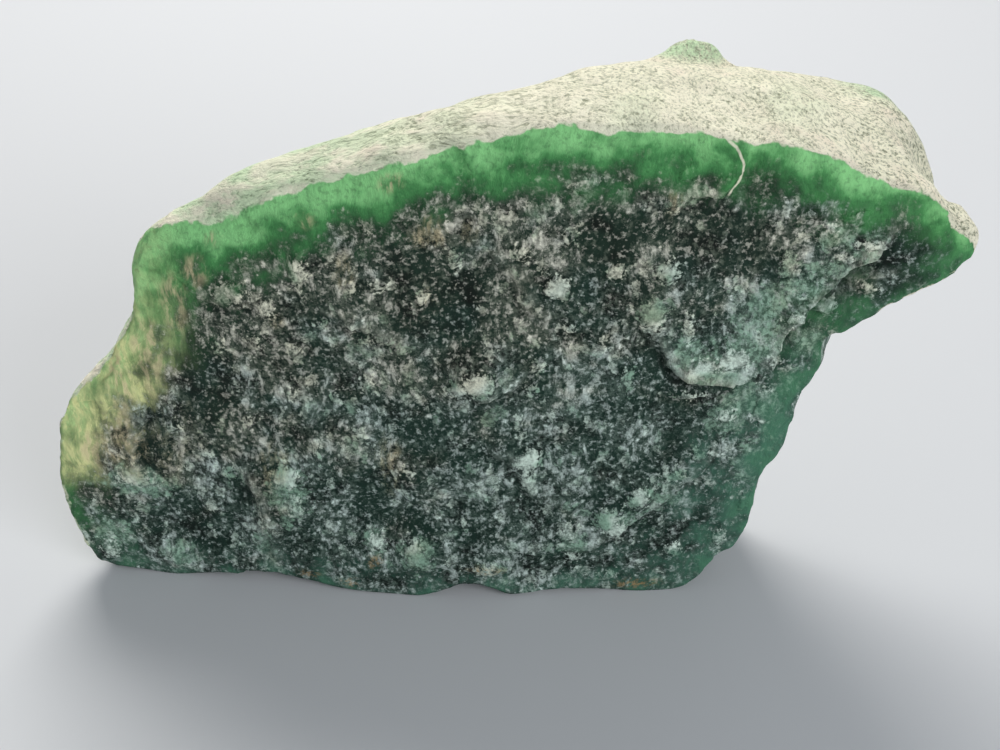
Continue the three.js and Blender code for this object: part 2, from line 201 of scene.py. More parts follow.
class StoneShape(bpy.types.PropertyGroup):
    """Relief of the stone's surface"""

    divisions: bpy.props.IntProperty(
        name="Divisions", description="How often each face of the block is split", default=2, min=0, max=2
    )
    edge_crease: bpy.props.FloatProperty(
        name="Edge crease", description="How sharp the front's outline stays", default=0.75, min=0.0,
        max=1.0, subtype="FACTOR",
    )
    ledge_slope: millimetres("Ledge slope", "Half the width of a broken ledge's face", 0.45)
    ledge_fade: millimetres("Ledge fade", "Length over which a ledge dies out at its ends", 7.0)
    flake_step: millimetres("Flake step", "Thickness of a pale flake", 0.45)
    plate_size: millimetres("Plate size", "Width of the hackly plates of a fracture", 5.5)
    plate_height: millimetres("Plate height", "Height of those plates", 0.38)
    splinter_size: millimetres("Splinter size", "Width of the small plates between them", 2.4)
    splinter_height: millimetres("Splinter height", "Height of the small plates", 0.17)
    rind_pit: millimetres("Rind pitting", "Depth of the weathered rind's pits", 0.22)
    rind_swell: millimetres("Rind swell", "Height of the rind's broad uneven places", 0.3)
    knob_step: millimetres("Knob step", "How much the knob stands up from its foot", 0.35)
    scallop: millimetres("Rim scallops", "Depth of the chips along the front's outline", 0.35)


class StoneFinish(bpy.types.PropertyGroup):
    """Colours of the stone"""

    body_deep: colour("Deep body", "Darkest quartz between the grains", paint(14, 20, 17))
    body_green: colour("Green body", "Green quartz between the grains", paint(30, 51, 42))
    grain_dull: colour("Dull grains", "Grains that the body shows through", paint(104, 115, 105))
    grain: colour("Grains", "Small pale grains", paint(246, 248, 240))
    flake: colour("Flakes", "Pale flakes with sharp edges", paint(238, 242, 227))
    flake_green: colour("Green flakes", "Thin flakes that let the body show", paint(160, 186, 162))
    blush: colour("Blush", "Grains stained tan and pink", paint(218, 203, 164))
    ochre: colour("Ochre", "Iron stains", paint(164, 138, 96))
    tint_cool: colour("Cool tint", "Tint of the lower front", paint(237, 253, 254))
    tint_warm: colour("Warm tint", "Tint of the upper front", paint(253, 249, 240))
    # The five rim colours are a painted glow, light shining through the thin edge, laid over the stone's own
    # green.
    rim_glow_bright: colour("Bright rim", "Clear green at the thin edge", paint(141, 210, 138))
    rim_glow_green: colour("Green rim", "Green a little further in", paint(78, 148, 86))
    rim_glow_deep: colour("Deep rim", "Green where the rim meets the body", paint(46, 88, 54))
    rim_glow_teal: colour("Teal rim", "Bluer green of the lower right edge", paint(80, 122, 108))
    rim_glow_warm: colour("Warm rim", "Yellow green of the left end", paint(230, 232, 166))
    rind: colour("Rind", "Weathered outside of the stone", paint(250, 245, 221))
    rind_pit: colour("Rind pits", "Pits and streaks of the rind", paint(128, 134, 108))
    rind_green: colour("Green rind", "Rind that is thin over the green", paint(212, 235, 195))
    rind_moss: colour("Dark green rind", "Pits where the rind is green", paint(66, 112, 70))
    rind_blush: colour("Pink rind", "Faint pink of the rind", paint(246, 226, 210))


class Stage(bpy.types.PropertyGroup):
    """Floor, light and camera"""

    floor_size: bpy.props.FloatProperty(
        name="Floor", description="Width of the floor", default=6.0, min=0.5, unit="LENGTH"
    )
    floor_tone: colour("Floor tone", "Pale floor", paint(206, 208, 211))
    sky_tone: colour("Sky tone", "Even light from all round", paint(232, 238, 246))
    sky_strength: bpy.props.FloatProperty(
        name="Sky strength", description="Brightness of the even light", default=0.3, min=0.0
    )
    key_power: bpy.props.FloatProperty(
        name="Key light", description="Large soft light above and behind", default=4.7, min=0.0, unit="POWER"
    )
    fill_power: bpy.props.FloatProperty(
        name="Fill light", description="Large soft light in front", default=3.4, min=0.0, unit="POWER"
    )
    rear_power: bpy.props.FloatProperty(
        name="Rear fill", description="Soft light low behind", default=0.8, min=0.0, unit="POWER"
    )
    lens: bpy.props.FloatProperty(
        name="Lens", description="Focal length for a sensor 36 mm wide", default=54.0, min=10.0, unit="CAMERA"
    )
    look_down: bpy.props.FloatProperty(
        name="Look down", description="How far the camera looks below level", default=math.radians(35),
        unit="ROTATION",
    )
    camera_place: bpy.props.FloatVectorProperty(
        name="Camera place", description="Where the camera stands", default=(0.00132, -0.19825, 0.17376),
        size=3, subtype="TRANSLATION", unit="LENGTH",
    )


# ---------------------------------------------------------------- fields over points in space

def smooth(value, low, high):
    """0 up to low, 1 from high on, and a smooth rise between them."""
    share = np.clip((value - low) / (high - low), 0, 1)
    return share * share * (3 - 2 * share)


def swell(points, size, stretch=(1, 1, 1), seed=0.0):
    """Smooth noise from about -1 to 1, with one swell in about every size millimetres."""
    places = points / (np.array(stretch) * size) + seed
    return np.array([noise.noise(Vector(place)) for place in places])


def plates(points, size, stretch=(1, 1, 1), seed=0.0):
    """Heights of broken plates, about -1 to 1: each cell is one flat plate, tilted its own way."""
    level_key = 7.3
    tilt_key = 3.1
    tilt_share = 1.2
    tilt_seed = 1
    # noise_vector shifts its pattern by this seed, which follows the clock unless it is set
    noise.seed_set(tilt_seed)
    places = points / (np.array(stretch) * size) + seed
    heights = np.empty(len(places))
    for index, place in enumerate(places):
        spot = Vector(place)
        centre = noise.voronoi(spot)[1][0]
        tilt = noise.noise_vector(centre * tilt_key)
        heights[index] = noise.noise(centre * level_key) + tilt_share * tilt.dot(spot - centre)
    return heights


def chips(points, marks, seed):
    """Millimetres inside the nearest chip, below 0 outside: a chip has straight broken sides."""
    sides = 6
    draw = np.random.default_rng(seed)
    inside = np.full(len(points), -FAR_OUTSIDE)
    for x, z, half_width, half_height in marks:
        offset = (points[:, (0, 2)] - (x, z)) / (half_width, half_height)
        start = draw.uniform(0, math.tau)
        reach = np.full(len(points), -np.inf)
        for side in range(sides):
            angle = start + math.tau * (side + draw.uniform(-0.25, 0.25)) / sides
            face = offset @ np.array((math.cos(angle), math.sin(angle)))
            reach = np.maximum(reach, face / draw.uniform(0.75, 1.1))
        inside = np.maximum(inside, (1 - reach) * min(half_width, half_height))
    return inside


def beside(points, line):
    """Signed distance from a line in X and Z, above 0 on its left, and the distance to its nearer end."""
    flat = points[:, (0, 2)]
    nearest = np.full(len(points), np.inf)
    signed = np.zeros(len(points))
    along = np.zeros(len(points))
    walked = 0.0
    for start, end in zip(line, line[1:]):
        start = np.array(start)
        run = np.array(end) - start
        length = np.linalg.norm(run)
        offset = flat - start
        share = np.clip(offset @ run / length ** 2, 0, 1)
        distance = np.linalg.norm(offset - share[:, None] * run, axis=1)
        closer = distance < nearest
        left = np.sign(run[0] * offset[:, 1] - run[1] * offset[:, 0])
        nearest = np.where(closer, distance, nearest)
        signed = np.where(closer, left * distance, signed)
        along = np.where(closer, walked + share * length, along)
        walked += length
    return signed, np.minimum(along, walked - along)


# ---------------------------------------------------------------- the stone's mesh

def select_only(piece):
    """Deselects everything else and makes the piece active."""
    bpy.ops.object.select_all(action="DESELECT")
    piece.select_set(True)
    bpy.context.view_layer.objects.active = piece


def copy_of_block():
    """The boulder's block as a new object of its own, with its loose triangles welded."""
    piece = bpy.data.objects.new(PIECE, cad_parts[NODE].data.copy())
    piece.data.materials.clear()
    bpy.context.scene.collection.objects.link(piece)
    select_only(piece)
    bpy.ops.object.mode_set(mode="EDIT")
    bpy.ops.mesh.select_all(action="SELECT")
    bpy.ops.mesh.remove_doubles(threshold=1e-6)
    bpy.ops.object.mode_set(mode="OBJECT")
    return piece


def outline_edges(mesh):
    """The loop of sharp edges round the front face, walked from corner to corner along the sharpest way."""
    full_sharp = math.radians(80)
    step_cost = 0.3
    corners = [min(mesh.verts, key=lambda vert: (vert.co - Vector(corner) * MM).length)
               for corner in FRONT_CORNERS]
    loop = []
    for start, goal in zip(corners, corners[1:] + corners[:1]):
        cost = {start: 0.0}
        came = {}
        done = set()
        open_verts = {start}
        while open_verts:
            here = min(open_verts, key=cost.get)
            if here is goal:
                break
            open_verts.remove(here)
            done.add(here)
            for edge in here.link_edges:
                there = edge.other_vert(here)
                if there in done:
                    continue
                dullness = 1 - min(edge.calc_face_angle(0) / full_sharp, 1)
                total = cost[here] + edge.calc_length() * (step_cost + dullness ** 2)
                if total < cost.get(there, math.inf):
                    cost[there] = total
                    came[there] = edge
                    open_verts.add(there)
        here = goal
        while here is not start:
            loop.append(came[here])
            here = came[here].other_vert(here)
    return loop


def front_faces(mesh, loop):
    """The faces inside the loop, found by spreading from the middle of the front."""
    wall = set(loop)
    middle = Vector(FRONT_MIDDLE) * MM
    first = min(mesh.faces, key=lambda face: (face.calc_center_median() - middle).length)
    found = {first}
    fresh = [first]
    while fresh:
        face = fresh.pop()
        for edge in face.edges:
            if edge in wall:
                continue
            for neighbour in edge.link_faces:
                if neighbour not in found:
                    found.add(neighbour)
                    fresh.append(neighbour)
    if len(found) > len(mesh.faces) / 2:
        raise RuntimeError("the front's outline isn't closed")
    return found


def mark_front(piece, crease):
    """Creases the front's outline and gives its faces material index 1, which division keeps."""
    mesh = bmesh.new()
    mesh.from_mesh(piece.data)
    sharpness = mesh.edges.layers.float.new("crease_edge")
    loop = outline_edges(mesh)
    inside = front_faces(mesh, loop)
    for edge in loop:
        edge.seam = True
        edge[sharpness] = crease
    for face in mesh.faces:
        face.material_index = 1 if face in inside else 0
        face.smooth = True
    mesh.to_mesh(piece.data)
    mesh.free()


def divide(piece, levels):
    """Pairs the triangles into four-sided faces and rounds them by subdivision."""
    select_only(piece)
    bpy.ops.object.mode_set(mode="EDIT")
    bpy.ops.mesh.select_all(action="SELECT")
    bpy.ops.mesh.tris_convert_to_quads(
        face_threshold=math.radians(60), shape_threshold=math.radians(90), seam=True
    )
    bpy.ops.object.mode_set(mode="OBJECT")
    rounding = piece.modifiers.new("Rounding", "SUBSURF")
    rounding.levels = levels
    rounding.render_levels = levels
    bpy.ops.object.modifier_apply(modifier=rounding.name)


def vectors(mesh, name):
    """One vector for each vertex of a mesh, as rows."""
    values = np.empty(len(mesh.vertices) * 3)
    mesh.vertices.foreach_get(name, values)
    return values.reshape(-1, 3)


def inset_of(mesh, points):
    """Distance of each vertex from the front's outline, above 0 on the front and below 0 round it."""
    on_front = np.zeros(len(points), bool)
    off_front = np.zeros(len(points), bool)
    for face in mesh.polygons:
        side = on_front if face.material_index else off_front
        side[list(face.vertices)] = True
    outline = on_front & off_front
    samples = [points[index] for index in np.flatnonzero(outline)]
    for edge in mesh.edges:
        first, second = edge.vertices
        if outline[first] and outline[second]:
            samples.append((points[first] + points[second]) / 2)
    tree = kdtree.KDTree(len(samples))
    for index, sample in enumerate(samples):
        tree.insert(sample, index)
    tree.balance()
    distance = np.array([tree.find(point)[2] for point in points])
    return np.where(on_front, distance, -distance)


def glow_rim_of(points, inset, rind_line):
    """The green rim, a painted glow of light through the thin edge: its brightness at the outline or below
    the rind, falling to 0 and below further in.
    """
    spread = 6.0
    round_share = 0.6
    rind_glow_reach = 5.0
    rind_glow_strength = 0.7
    round_edge = -2.0
    keys = np.array(GLOW_RIM_KEYS, float)
    gap = np.linalg.norm(points[:, None, (0, 2)] - keys[None, :, :2], axis=2)
    weight = 1 / (gap ** 2 + spread ** 2) ** 2
    weight /= weight.sum(axis=1, keepdims=True)
    depth = weight @ keys[:, 2]
    strength = weight @ keys[:, 3]
    reach = np.where(inset > 0, depth, round_share * depth)
    rim = strength * (1 - np.abs(inset) / reach)
    # the painted glow also runs along below the rind's border on the back and the ends
    below = rind_glow_strength * (1 - np.abs(rind_line) / rind_glow_reach)
    return np.where(inset < round_edge, np.maximum(rim, below), rim)


def rind_of(points):
    """Height above the ragged line where the weathered rind ends, on the back and the ends."""
    border = np.interp(points[:, 0], *zip(*RIND_BORDER))
    wander = 5 * swell(points, 17, seed=4.0) + 2 * swell(points, 6, seed=9.0)
    return points[:, 2] - border + wander


def green_of(points):
    """How green the rind is: the knob on top, the far right edge and a few thin places."""
    knob_top = (29.0, 11.6, 89.0)
    knob_reach = (6.6, 6.6, 4.4)
    ragged = swell(points, 6, seed=17.0) + 0.6 * swell(points, 2.4, seed=18.0)
    knob = 1.35 - np.linalg.norm((points - knob_top) / knob_reach, axis=1)
    edge = smooth(points[:, 0] + 4 * ragged, 50, 58) * smooth(points[:, 1] + 3 * ragged, 2, 8)
    thin = 0.25 * smooth(swell(points, 12, seed=2.0) + 0.3 * ragged, 0.1, 0.5)
    return np.clip(np.maximum(3.0 * knob, np.maximum(edge, thin)), 0, 1)


def knob_relief(points):
    """Steeper sides for the knob on top: 1 over its flat crown, below 0 round its foot."""
    middle = (29.2, 11.6)
    foot_share = 0.8
    ragged = 0.7 * swell(points, 2.6, seed=16.0)
    reach = np.hypot(points[:, 0] - middle[0], points[:, 1] - middle[1]) + ragged
    crown = smooth(reach, 5.2, 3.6)
    foot = smooth(reach, 4.6, 6.0) * smooth(reach, 9.5, 6.5)
    return (crown - foot_share * foot) * smooth(points[:, 2], 78, 82)


def warm_of(points):
    """How far the left end turns tan: most beside its lower shoulder, less in the corner above."""
    leftward = smooth(points[:, 0], -42, -58)
    upward = smooth(points[:, 2], 17, 24) * (1 - 0.5 * smooth(points[:, 2], 46, 60))
    return leftward * upward


def ledge_relief(points, ledges, shape):
    """Crisp faces for the block's soft ledges, with a painted highlight on the lip and a painted shadow at
    the foot of each.
    """
    block_slope = 2.4
    full_rise = 2.0
    highlight_full = 0.4
    highlight_width = 2.6
    shadow_full = 0.5
    shadow_width = 2.2
    lift = np.zeros(len(points))
    lip = np.zeros(len(points))
    foot = np.zeros(len(points))
    ragged = 1.1 * swell(points, 3.4, seed=1.0) + 0.6 * swell(points, 1.5, seed=5.0)
    for rise, line in ledges:
        distance, to_end = beside(points, line)
        distance = (distance + ragged) * np.sign(rise)
        rise = abs(rise)
        fade = smooth(to_end, 0, shape.ledge_fade)
        crisp = smooth(distance, -shape.ledge_slope, shape.ledge_slope)
        soft = smooth(distance, -block_slope, block_slope)
        lift += rise * fade * (crisp - soft)
        weight = fade * min(rise / full_rise, 1)
        # the lip: a painted highlight along the raised side of the edge
        lip = np.maximum(lip, weight * crisp * smooth(distance, highlight_width, highlight_full))
        # the foot: a painted shadow below the edge
        foot = np.maximum(foot, weight * (1 - crisp) * smooth(distance, -shadow_width, -shadow_full))
    return lift, lip, foot


def write_field(mesh, name, values):
    """Stores one number for each vertex, which the material reads by name."""
    field = mesh.attributes.new(name, "FLOAT", "POINT")
    field.data.foreach_set("value", np.asarray(values, np.float32))


def fresh_relief(points, shape, flake, calm):
    """Hackly plates of a fresh fracture, lower where it is calm, and the raised pale flakes on it."""
    calming = 0.85
    hackles = shape.plate_height * plates(points, shape.plate_size, (1, 1, 1.3), seed=0.0)
    hackles += shape.splinter_height * plates(points, shape.splinter_size, (0.9, 1, 1.3), seed=20.0)
    flakes = shape.flake_step * smooth(flake + 0.3 * swell(points, 1.2, seed=6.0), -0.35, 0.35)
    return hackles * (1 - calming * calm), flakes


def rind_relief(points, shape):
    """Pits and broad uneven places of the weathered rind, drawn out along the stone."""
    pit_share = 1.6
    weathered = 1.0 + 0.5 * swell(points, 5.0, (2.0, 1, 1), seed=11.0)
    weathered += 0.6 * swell(points, 2.1, (1.7, 1, 1), seed=12.0)
    broad = plates(points, 9.0, (1.4, 1, 1), seed=30.0)
    return pit_share * shape.rind_pit * weathered + shape.rind_swell * broad


def edge_relief(points, shape, inset):
    """Chips along the front's outline."""
    chip_reach = 1.8
    nicks = swell(points, 2.4, seed=14.0) + 0.8 * swell(points, 5.0, seed=15.0)
    return shape.scallop * nicks * smooth(np.abs(inset), chip_reach, 0.0)


def sculpt(piece, shape):
    """Breaks the surface into ledges, flakes and plates, and stores what the material needs."""
    mesh = piece.data
    points = vectors(mesh, "co") / MM
    normals = vectors(mesh, "normal")
    inset = inset_of(mesh, points)
    front = smooth(inset, 0.0, 1.5)
    back = smooth(normals[:, 1], 0.3, 0.8) * (inset < 0)
    rind_line = rind_of(points)
    rind = smooth(rind_line, -1.0, 1.5) * smooth(-inset, 0.0, 1.0)

    front_lift, lip, foot = ledge_relief(points, FRONT_LEDGES, shape)
    back_lift, back_lip_highlight, back_ledge_shadow = ledge_relief(points, BACK_LEDGES, shape)
    # painted highlights on the ledges' lips and painted shadows at their feet, on the front and on the back
    # outside the rind
    lip = lip * front + back_lip_highlight * back * (1 - rind)
    foot = foot * front + back_ledge_shadow * back * (1 - rind)

    flake = np.where(inset > 0, chips(points, FLAKES, seed=3), -FAR_OUTSIDE)
    veil = np.where(inset > 0, chips(points, VEILS, seed=13), -FAR_OUTSIDE)
    calm = smooth(chips(points, CALM_PATCHES, seed=5), -0.5, 1.2) * front

    hackles, flakes = fresh_relief(points, shape, flake, calm)
    height = hackles * (1 - rind) + flakes * front + rind_relief(points, shape) * rind
    height += shape.knob_step * knob_relief(points) + edge_relief(points, shape, inset)

    # the worn flats of the base stay where they are
    ground = smooth(points[:, 2], 0.3, 2.0)
    moved = points + normals * (height * ground)[:, None]
    moved[:, 1] += (back_lift * back * ground) - (front_lift * front * ground)
    moved[:, 2] = np.maximum(moved[:, 2], 0.0)
    mesh.vertices.foreach_set("co", (moved * MM).ravel())
    mesh.update()

    # the rind stops short of the front at its upper left corner
    corner_gap = 1.6
    corner = smooth(points[:, 0], -38, -48) * smooth(points[:, 2], 46, 58)
    shown = inset + corner_gap * corner
    notch, to_end = beside(points, NOTCH_LINE)
    fields = {
        "inset": shown,
        # the painted glow of the green rim
        "rim": glow_rim_of(points, shown, rind_line),
        "rind": rind_line,
        "green": green_of(points),
        "flake": flake,
        "veil": veil,
        "calm": calm,
        "deep": smooth(chips(points, DEEP_PATCHES, seed=7), -1.0, 2.0) * front,
        "blush": smooth(chips(points, BLUSH_PATCHES, seed=9), -0.7, 0.9) * front,
        "ochre": smooth(chips(points, OCHRE_PATCHES, seed=11), -0.6, 0.8),
        "warm": warm_of(points),
        "lean": smooth(points[:, 2] - 0.4 * points[:, 0], 0, 90),
        # the painted highlight and the painted shadow along the ledges
        "lip": lip,
        "foot": foot,
        "vein": notch + 0.4 * swell(points, 1.8, seed=8.0),
        "vein end": np.where(inset > -0.8, to_end, 0.0),
    }
    for name, values in fields.items():
        write_field(mesh, name, values)


# ---------------------------------------------------------------- the stone's material

class Tree:
    """Adds nodes to one node tree and links them; an input is a socket, a number or a colour."""

    def __init__(self, tree):
        self.tree = tree

    def node(self, kind, settings=None, **inputs):
        """One node with its settings and inputs; an underscore stands for a space in an input's name."""
        node = self.tree.nodes.new(kind)
        for name, value in (settings or {}).items():
            setattr(node, name, value)
        for name, value in inputs.items():
            self.feed(node.inputs[name.replace("_", " ")], value)
        return node

    def add(self, kind, output=0, settings=None, **inputs):
        """One node, as the socket that it puts out."""
        return self.node(kind, settings, **inputs).outputs[output]

    def feed(self, socket, value):
        """Links a socket, or sets a plain value."""
        if isinstance(value, bpy.types.NodeSocket):
            self.tree.links.new(value, socket)
        else:
            socket.default_value = value

    def math(self, operation, first, second=0.0):
        """Arithmetic on two numbers."""
        node = self.node("ShaderNodeMath", {"operation": operation})
        self.feed(node.inputs[0], first)
        self.feed(node.inputs[1], second)
        return node.outputs[0]

    def add_up(self, *values):
        """The sum of several numbers."""
        total = values[0]
        for value in values[1:]:
            total = self.math("ADD", total, value)
        return total

    def times(self, first, second):
        """The product of two numbers."""
        return self.math("MULTIPLY", first, second)

    def rise(self, value, low, high, start=0.0, end=1.0):
        """A smooth change from start at low to end at high."""
        return self.add(
            "ShaderNodeMapRange", settings={"interpolation_type": "SMOOTHSTEP"},
            Value=value, From_Min=low, From_Max=high, To_Min=start, To_Max=end,
        )

    def slope(self, value, low, high, start=0.0, end=1.0):
        """An even change from start at low to end at high."""
        return self.add(
            "ShaderNodeMapRange",
            Value=value, From_Min=low, From_Max=high, To_Min=start, To_Max=end,
        )

    def mix(self, share, first, second, blend="MIX"):
        """A mix of two colours."""
        node = self.node("ShaderNodeMix", {"data_type": "RGBA", "blend_type": blend}, Factor=share)
        self.feed(node.inputs[6], first)
        self.feed(node.inputs[7], second)
        return node.outputs[2]

    def between(self, share, first, second):
        """A number between two, by share."""
        return self.add("ShaderNodeMix", Factor=share, A=first, B=second)

    def noise(self, place, size, detail=2.0, roughness=0.5, output="Fac"):
        """Noise with one swell in about every size millimetres."""
        return self.add(
            "ShaderNodeTexNoise", output,
            Vector=place, Scale=1 / size, Detail=detail, Roughness=roughness,
        )

    def channel(self, tint, name="Red"):
        """One channel of a colour, as a number."""
        return self.add("ShaderNodeSeparateColor", name, Color=tint)

    def cells(self, place, size):
        """A random number from 0 to 1 for each grain of about size millimetres."""
        return self.channel(self.add("ShaderNodeTexVoronoi", "Color", Vector=place, Scale=1 / size))

    def stretched(self, place, stretch):
        """The same place with distances drawn out along each axis, so a pattern read there grows so."""
        return self.add("ShaderNodeMapping", Vector=place, Scale=tuple(1 / axis for axis in stretch))

    def vector_math(self, operation, first, second):
        """Arithmetic on two vectors, axis by axis."""
        node = self.node("ShaderNodeVectorMath", {"operation": operation})
        self.feed(node.inputs[0], first)
        self.feed(node.inputs[1], second)
        return node.outputs[0]

    def scaled(self, vector, factor):
        """A vector made longer by a factor."""
        return self.add(
            "ShaderNodeVectorMath", settings={"operation": "SCALE"}, Vector=vector, Scale=factor
        )

    def bent(self, place, wander, reach):
        """The same place pushed about by a colour noise, so a pattern read there has ragged shapes."""
        return self.vector_math("ADD", place, self.scaled(wander, reach))

    def field(self, name):
        """A number that the mesh stores for each vertex."""
        return self.add("ShaderNodeAttribute", "Fac", settings={"attribute_name": name})


def finish_group(name, fields, colours):
    """A shader node group that makes one finish: its tree, its inputs and its outputs by name."""
    inputs = {"Place": "NodeSocketVector", "Fabric": "NodeSocketVector"}
    inputs.update(dict.fromkeys(fields, "NodeSocketFloat"))
    inputs.update(dict.fromkeys(colours, "NodeSocketColor"))
    outputs = {"Color": "NodeSocketColor", "Roughness": "NodeSocketFloat", "Height": "NodeSocketFloat"}
    group = bpy.data.node_groups.new(name, "ShaderNodeTree")
    for label, kind in inputs.items():
        group.interface.new_socket(name=label, in_out="INPUT", socket_type=kind)
    for label, kind in outputs.items():
        group.interface.new_socket(name=label, in_out="OUTPUT", socket_type=kind)
    source = group.nodes.new("NodeGroupInput")
    sink = group.nodes.new("NodeGroupOutput")
    return Tree(group), source.outputs, sink.inputs


def place_group(tree, group, finish, fields, colours, **inputs):
    """One copy of a group in a tree, fed by fields of the mesh and colours of the finish, as its node."""
    inputs.update((socket, tree.field(name)) for socket, name in fields.items())
    inputs.update((socket, getattr(finish, name)) for socket, name in colours.items())
    return tree.node("ShaderNodeGroup", {"node_tree": group}, **inputs)


# Inputs of the two groups: each socket with the field of the mesh or the colour of the finish it takes.
FRACTURE_FIELDS = {
    "Rim field": "rim", "Flake field": "flake", "Veil": "veil", "Calm": "calm", "Deep": "deep",
    "Blush field": "blush", "Ochre field": "ochre", "Lip": "lip", "Foot": "foot", "Warm": "warm",
    "Lean": "lean",
}
FRACTURE_COLOURS = {
    "Deep body": "body_deep", "Green body": "body_green", "Dull grain": "grain_dull", "Grain": "grain",
    "Flake": "flake", "Green flake": "flake_green", "Blush": "blush", "Ochre": "ochre",
    "Bright rim": "rim_glow_bright", "Green rim": "rim_glow_green", "Deep rim": "rim_glow_deep", "Teal rim": "rim_glow_teal",
    "Warm rim": "rim_glow_warm", "Cool tint": "tint_cool", "Warm tint": "tint_warm",
}
RIND_FIELDS = {"Inset": "inset", "Green": "green"}
RIND_COLOURS = {
    "Rind": "rind", "Pit": "rind_pit", "Green rind": "rind_green", "Dark green rind": "rind_moss",
    "Pink rind": "rind_blush",
}


def fracture_group():
    """Freshly broken aventurine: green rim with a painted glow, dark body, pale grains and flakes, and the
    ledges' painted highlights and shadows.
    """
    tree, given, result = finish_group("Fresh fracture", FRACTURE_FIELDS, FRACTURE_COLOURS)
    place = given["Place"]
    fabric = given["Fabric"]
    drawn = tree.stretched(fabric, (1.0, 1.0, 1.6))

    cluster = tree.noise(place, 6.0, detail=3.0, roughness=0.6)
    ragged = tree.noise(place, 0.8, detail=2.0, roughness=0.65, output="Color")
    mottle = tree.channel(ragged)
    cloud = tree.noise(place, 4.5)

    # the rim: a painted glow of light through the thin edge, clear green that fades and breaks up downwards
    # into a fringe
    fringe = tree.noise(tree.stretched(fabric, (1.0, 1.0, 3.5)), 1.1, detail=3.0, roughness=0.6)
    glow = tree.add_up(
        given["Rim field"],
        tree.rise(fringe, 0.25, 0.75, -0.05, 0.05),
        tree.rise(cloud, 0.3, 0.7, -0.26, 0.26),
    )

    # how pale each point is: an even mix of fine specks
    dot_size = 0.85
    clot = tree.noise(drawn, 1.4, detail=4.0, roughness=0.62)
    dots = tree.node("ShaderNodeTexVoronoi", Vector=tree.bent(drawn, ragged, 0.5), Scale=1 / dot_size)
    bright = tree.channel(dots.outputs["Color"])
    dot = tree.times(tree.rise(dots.outputs["Distance"], 0.62, 0.2), tree.slope(bright, 0.2, 1.0))
    grainy = tree.add_up(
        tree.slope(mottle, 0.28, 0.72, 0.0, 0.34),
        tree.times(dot, 0.3),
        tree.times(tree.cells(place, 0.27), 0.19),
    )
    ground = tree.add_up(
        tree.rise(cluster, 0.25, 0.75, -0.16, 0.16),
        tree.times(given["Deep"], -0.17),
        # fewer pale grains in the painted shadow at the ledges' feet
        tree.times(given["Foot"], -0.15),
        tree.times(given["Calm"], -0.13),
        tree.rise(glow, 0.1, 0.6, 0.0, -0.15),
    )
    pale = tree.add_up(grainy, tree.times(ground, 0.7))

    # small flakes between the big ones: soft flecks, and angular chips here and there
    fleck = tree.rise(tree.add_up(clot, tree.times(ground, 0.6)), 0.53, 0.68)
    split = tree.cells(tree.bent(drawn, ragged, 1.4), 1.3)
    chip = tree.rise(tree.add_up(split, tree.times(ground, 0.8)), 0.86, 0.9)
    plate = tree.add_up(given["Flake field"], tree.slope(clot, 0.2, 0.8, -1.1, 1.1))
    flake = tree.rise(tree.add_up(plate, tree.slope(mottle, 0.2, 0.8, -1.2, 1.2)), -0.2, 0.4)
    wisp = tree.noise(place, 2.4, detail=4.0, roughness=0.7)
    veil = tree.rise(tree.add_up(given["Veil"], tree.rise(wisp, 0.2, 0.8, -1.9, 1.9)), -0.4, 1.0)

    # stains, and the colours of each kind of grain
    tan = tree.times(given["Warm"], tree.rise(cloud, 0.25, 0.6, 0.35, 1.0))
    stain = tree.add_up(
        tree.times(given["Blush field"], tree.rise(fringe, 0.36, 0.62, 0.1, 1.0)),
        tree.times(tan, tree.rise(fringe, 0.3, 0.7, 0.2, 0.9)),
    )
    stain = tree.math("MINIMUM", stain, 1.0)
    body = tree.mix(tree.rise(cloud, 0.25, 0.6), given["Deep body"], given["Green body"])
    body = tree.mix(given["Calm"], body, given["Green body"])
    body = tree.mix(tree.times(veil, 0.1), body, given["Green flake"])

    grain = tree.mix(tree.times(stain, 0.8), given["Grain"], given["Blush"])
    dull = tree.mix(tree.times(stain, 0.45), given["Dull grain"], given["Blush"])
    sage = tree.mix(tree.rise(cloud, 0.45, 0.65), given["Flake"], given["Green flake"])
    sage = tree.mix(tree.times(stain, 0.5), sage, given["Blush"])
    worn = tree.rise(given["Flake field"], 0.2, 1.6, 1.0, 0.35)
    sage = tree.mix(tree.times(worn, tree.slope(grainy, 0.2, 0.5, 0.6, 0.0)), sage, given["Dull grain"])
    sage = tree.mix(tree.times(worn, tree.slope(grainy, 0.12, 0.36, 0.7, 0.0)), sage, body)

    # from the dark body up to the flakes on top
    speck = tree.rise(tree.channel(ragged, "Green"), 0.53, 0.7, 0.0, 0.36)
    tone = tree.mix(tree.slope(pale, 0.18, 0.58), body, dull)
    tone = tree.mix(tree.slope(pale, 0.53, 0.82), tone, grain)
    tone = tree.mix(tree.times(fleck, tree.slope(grainy, 0.15, 0.65, 0.3, 0.8)), tone, grain)
    tone = tree.mix(speck, tone, grain)
    tone = tree.mix(tree.times(veil, tree.slope(grainy, 0.18, 0.48, 0.15, 0.85)), tone, given["Green flake"])
    tone = tree.mix(tree.times(chip, 0.55), tone, sage)
    tone = tree.mix(tree.times(flake, 0.92), tone, sage)
    # a painted highlight on the ledges' lips, then a painted shadow at their feet
    tone = tree.mix(tree.times(given["Lip"], tree.rise(clot, 0.4, 0.6, 0.05, 0.5)), tone, given["Flake"])
    tone = tree.mix(tree.times(given["Foot"], 0.5), tone, given["Deep body"])
    lean = tree.slope(given["Lean"], 0.0, 1.0, -0.25, 0.2)
    drift = tree.rise(tree.add_up(tree.noise(place, 8.0, detail=3.0, roughness=0.6), lean), 0.35, 0.65)
    tone = tree.mix(1.0, tone, tree.mix(drift, given["Cool tint"], given["Warm tint"]), "MULTIPLY")
